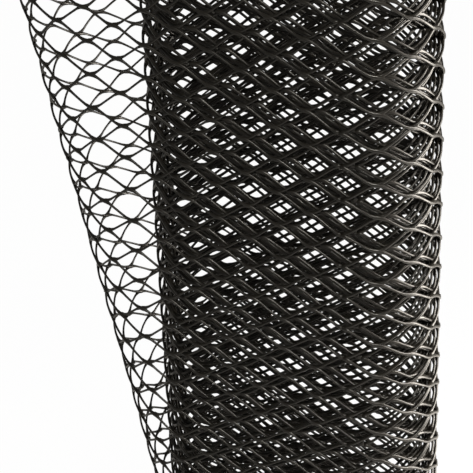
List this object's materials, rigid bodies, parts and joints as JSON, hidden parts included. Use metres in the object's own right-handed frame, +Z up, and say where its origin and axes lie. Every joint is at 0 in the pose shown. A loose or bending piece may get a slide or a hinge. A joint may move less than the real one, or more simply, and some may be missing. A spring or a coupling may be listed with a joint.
{
  "type": "roll of plastic mesh fencing",
  "caption": "Free-standing wound roll of black plastic diamond-mesh fencing, its loose outer turn flaring out towards the top on one side.",
  "frame": {"origin": "middle of the roll's outline, on the level it stands on", "axes": "+Z up along the roll, +X along the flattened roll towards its tight end, -Y towards the flat side seen in front"},
  "size_m": [0.336, 0.138, 0.5],
  "materials": {
    "black_plastic": "satin"
  },
  "bodies": {
    "root": {"turn_1_front": "black_plastic", "turn_1_left_front_bend": "black_plastic", "turn_1_left_back_bend": "black_plastic", "turn_1_back": "black_plastic", "turn_1_right_back_bend": "black_plastic", "turn_1_right_front_bend": "black_plastic", "turn_2_front": "black_plastic", "turn_2_left_front_bend": "black_plastic", "turn_2_left_back_bend": "black_plastic", "turn_2_back": "black_plastic", "turn_2_right_back_bend": "black_plastic", "turn_2_right_front_bend": "black_plastic", "turn_3_front": "black_plastic", "turn_3_left_front_bend": "black_plastic", "turn_3_left_back_bend": "black_plastic", "turn_3_back": "black_plastic", "turn_3_right_back_bend": "black_plastic", "turn_3_right_front_bend": "black_plastic", "turn_4_front": "black_plastic", "turn_4_left_front_bend": "black_plastic", "turn_4_left_back_bend": "black_plastic", "turn_4_back": "black_plastic", "turn_4_right_back_bend": "black_plastic", "turn_4_right_front_bend": "black_plastic", "turn_5_front": "black_plastic", "turn_5_left_front_bend": "black_plastic", "turn_5_left_back_bend": "black_plastic", "turn_5_back": "black_plastic", "turn_5_right_back_bend": "black_plastic", "turn_5_right_front_bend": "black_plastic", "loose_turn_front": "black_plastic", "loose_turn_left_front_bend": "black_plastic", "loose_turn_left_back_bend": "black_plastic", "loose_turn_back": "black_plastic"}
  },
  "joints": []
}
